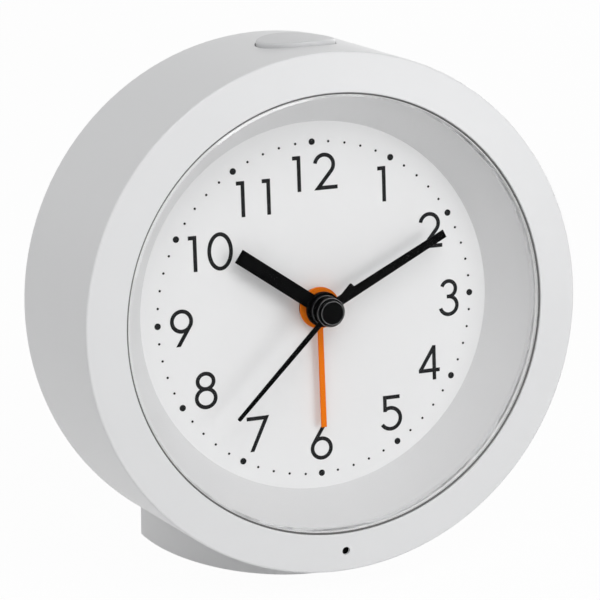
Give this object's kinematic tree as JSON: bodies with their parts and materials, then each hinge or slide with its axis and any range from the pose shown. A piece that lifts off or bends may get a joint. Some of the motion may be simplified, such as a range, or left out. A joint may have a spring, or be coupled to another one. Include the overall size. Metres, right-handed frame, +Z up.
{
  "type": "alarm clock",
  "caption": "Round white table alarm clock leaning back on a half-oval foot, with a numbered dial, dark hands, an orange alarm hand, a snooze button on top and a gear movement inside.",
  "frame": {"origin": "on the table, at the middle of the footprint of the bounding box", "axes": "+X to the viewer's right, +Y to the back of the clock, +Z up"},
  "size_m": [0.117, 0.0596, 0.1198],
  "materials": {
    "case_shell": "satin white",
    "case_back": "fine grain white",
    "door": "fine grain white",
    "foot_plastic": "satin white",
    "buttons": "satin white",
    "knobs": "light grey",
    "window": "clear acrylic",
    "reflector": "white, light passes a little",
    "dial_face": "matt off-white",
    "print": "dark printed ink",
    "dark_hands": "matt near-black",
    "orange_hand": "matt orange",
    "inner_plastic": "natural",
    "movement_plastic": "black",
    "wheel_plastic": "natural acetal",
    "tube_wheels": "acetal",
    "stems": "acetal",
    "screws": "zinc plated",
    "rubber_pads": "grey",
    "boards": "green circuit board",
    "dark_parts": "black moulding",
    "light_parts": "clear yellowish",
    "plunger": "white",
    "crystal_can": "bright can",
    "iron": "soft iron sheet",
    "copper": "enamelled copper wire",
    "contacts": "nickel plated",
    "cell": "plain printed sleeve",
    "sounder": "brass disc"
  },
  "bodies": {
    "case": {"alarm_contact_spring": "contacts", "alarm_switch_body": "inner_plastic", "battery_cell": "cell", "battery_contact_negative": "contacts", "battery_contact_positive": "contacts", "battery_spring": "contacts", "buzzer_disc": "sounder", "carrier_screws": "screws", "circuit_board": "boards", "coil_core": "iron", "control_chip": "dark_parts", "cover_screws": "screws", "dial_carrier": "inner_plastic", "dial_lights": "light_parts", "dial_plate": "dial_face", "foot": "foot_plastic", "foot_pads": "rubber_pads", "foot_screws": "screws", "front_case": "case_shell", "hour_dots": "print", "lens": "window", "light_boards": "boards", "light_sensor": "light_parts", "minute_dots": "print", "movement_back": "movement_plastic", "movement_front": "movement_plastic", "movement_screws": "screws", "quartz_crystal": "crystal_can", "rear_cover": "case_back", "reflector_ring": "reflector", "sensor_board": "boards", "snooze_board": "boards", "stator": "iron", "stepper_coil": "copper", "tact_switch": "dark_parts"},
    "minute": {"minute_hand": "dark_hands", "centre_wheel": "tube_wheels"},
    "hour": {"hour_hand": "dark_hands", "hour_wheel": "tube_wheels"},
    "second": {"second_hand": "dark_hands", "second_hand_cap": "dark_hands", "second_wheel": "tube_wheels"},
    "motion": {"motion_wheel": "wheel_plastic"},
    "time_setting": {"time_set_stem": "stems", "time_set_knob": "knobs"},
    "third": {"third_wheel": "wheel_plastic"},
    "intermediate": {"intermediate_wheel": "wheel_plastic"},
    "motor_rotor": {"rotor": "tube_wheels"},
    "alarm": {"alarm_hand": "orange_hand", "alarm_wheel": "tube_wheels"},
    "idler": {"alarm_idler": "wheel_plastic"},
    "alarm_setting": {"alarm_set_stem": "stems", "alarm_set_knob": "knobs"},
    "snooze": {"snooze_button": "buttons", "tact_plunger": "plunger"},
    "alarm_switch": {"alarm_switch_slider": "dark_parts"},
    "door": {"battery_door": "door"}
  },
  "joints": [
    {"name": "minute_turn", "type": "hinge", "parent": "case", "child": "minute", "pos_m": [0, -0.01266, 0.0613], "axis": [0, 0.9966, -0.0826], "continuous": true},
    {"name": "hour_turn", "type": "hinge", "parent": "case", "child": "hour", "pos_m": [0, -0.01266, 0.0613], "axis": [0, 0.9966, -0.0826], "continuous": true},
    {"name": "second_turn", "type": "hinge", "parent": "case", "child": "second", "pos_m": [0, -0.01266, 0.0613], "axis": [0, 0.9966, -0.0826], "continuous": true},
    {"name": "motion_turn", "type": "hinge", "parent": "case", "child": "motion", "pos_m": [-0.00459, -0.0132, 0.05477], "axis": [0, 0.9966, -0.0826], "continuous": true},
    {"name": "time_setting_turn", "type": "hinge", "parent": "case", "child": "time_setting", "pos_m": [-0.00918, -0.01374, 0.04824], "axis": [0, 0.9966, -0.0826], "continuous": true},
    {"name": "third_turn", "type": "hinge", "parent": "case", "child": "third", "pos_m": [0.0135, -0.01266, 0.0613], "axis": [0, 0.9966, -0.0826], "continuous": true},
    {"name": "intermediate_turn", "type": "hinge", "parent": "case", "child": "intermediate", "pos_m": [-0.0096, -0.01266, 0.0613], "axis": [0, 0.9966, -0.0826], "continuous": true},
    {"name": "rotor_turn", "type": "hinge", "parent": "case", "child": "motor_rotor", "pos_m": [-0.018, -0.01266, 0.0613], "axis": [0, 0.9966, -0.0826], "continuous": true},
    {"name": "alarm_turn", "type": "hinge", "parent": "case", "child": "alarm", "pos_m": [0, -0.01266, 0.0613], "axis": [0, 0.9966, -0.0826], "continuous": true},
    {"name": "idler_turn", "type": "hinge", "parent": "case", "child": "idler", "pos_m": [-0.005, -0.01195, 0.06993], "axis": [0, 0.9966, -0.0826], "continuous": true},
    {"name": "alarm_setting_turn", "type": "hinge", "parent": "case", "child": "alarm_setting", "pos_m": [-0.0085, -0.01144, 0.07598], "axis": [0, 0.9966, -0.0826], "continuous": true},
    {"name": "snooze_press", "type": "slide", "parent": "case", "child": "snooze", "axis": [0, -0.0826, -0.9966], "range_m": [0, 0.0005], "stiffness_N_per_m": 2000, "springref_m": -0.0005},
    {"name": "alarm_switch_slide", "type": "slide", "parent": "case", "child": "alarm_switch", "axis": [0, 0.0826, 0.9966], "range_m": [0, 0.003]},
    {"name": "door_slide", "type": "slide", "parent": "case", "child": "door", "axis": [0, 0.9966, -0.0826], "range_m": [0, 0.02]}
  ],
  "couplings": [
    {"joint": "hour_turn", "follows": "minute_turn", "ratio": 0.083333},
    {"joint": "motion_turn", "follows": "minute_turn", "ratio": -0.33333},
    {"joint": "time_setting_turn", "follows": "minute_turn", "ratio": 1},
    {"joint": "third_turn", "follows": "minute_turn", "ratio": -8},
    {"joint": "second_turn", "follows": "minute_turn", "ratio": 60},
    {"joint": "intermediate_turn", "follows": "minute_turn", "ratio": -300},
    {"joint": "rotor_turn", "follows": "minute_turn", "ratio": 1800},
    {"joint": "idler_turn", "follows": "alarm_turn", "ratio": -1.5},
    {"joint": "alarm_setting_turn", "follows": "alarm_turn", "ratio": 2}
  ]
}
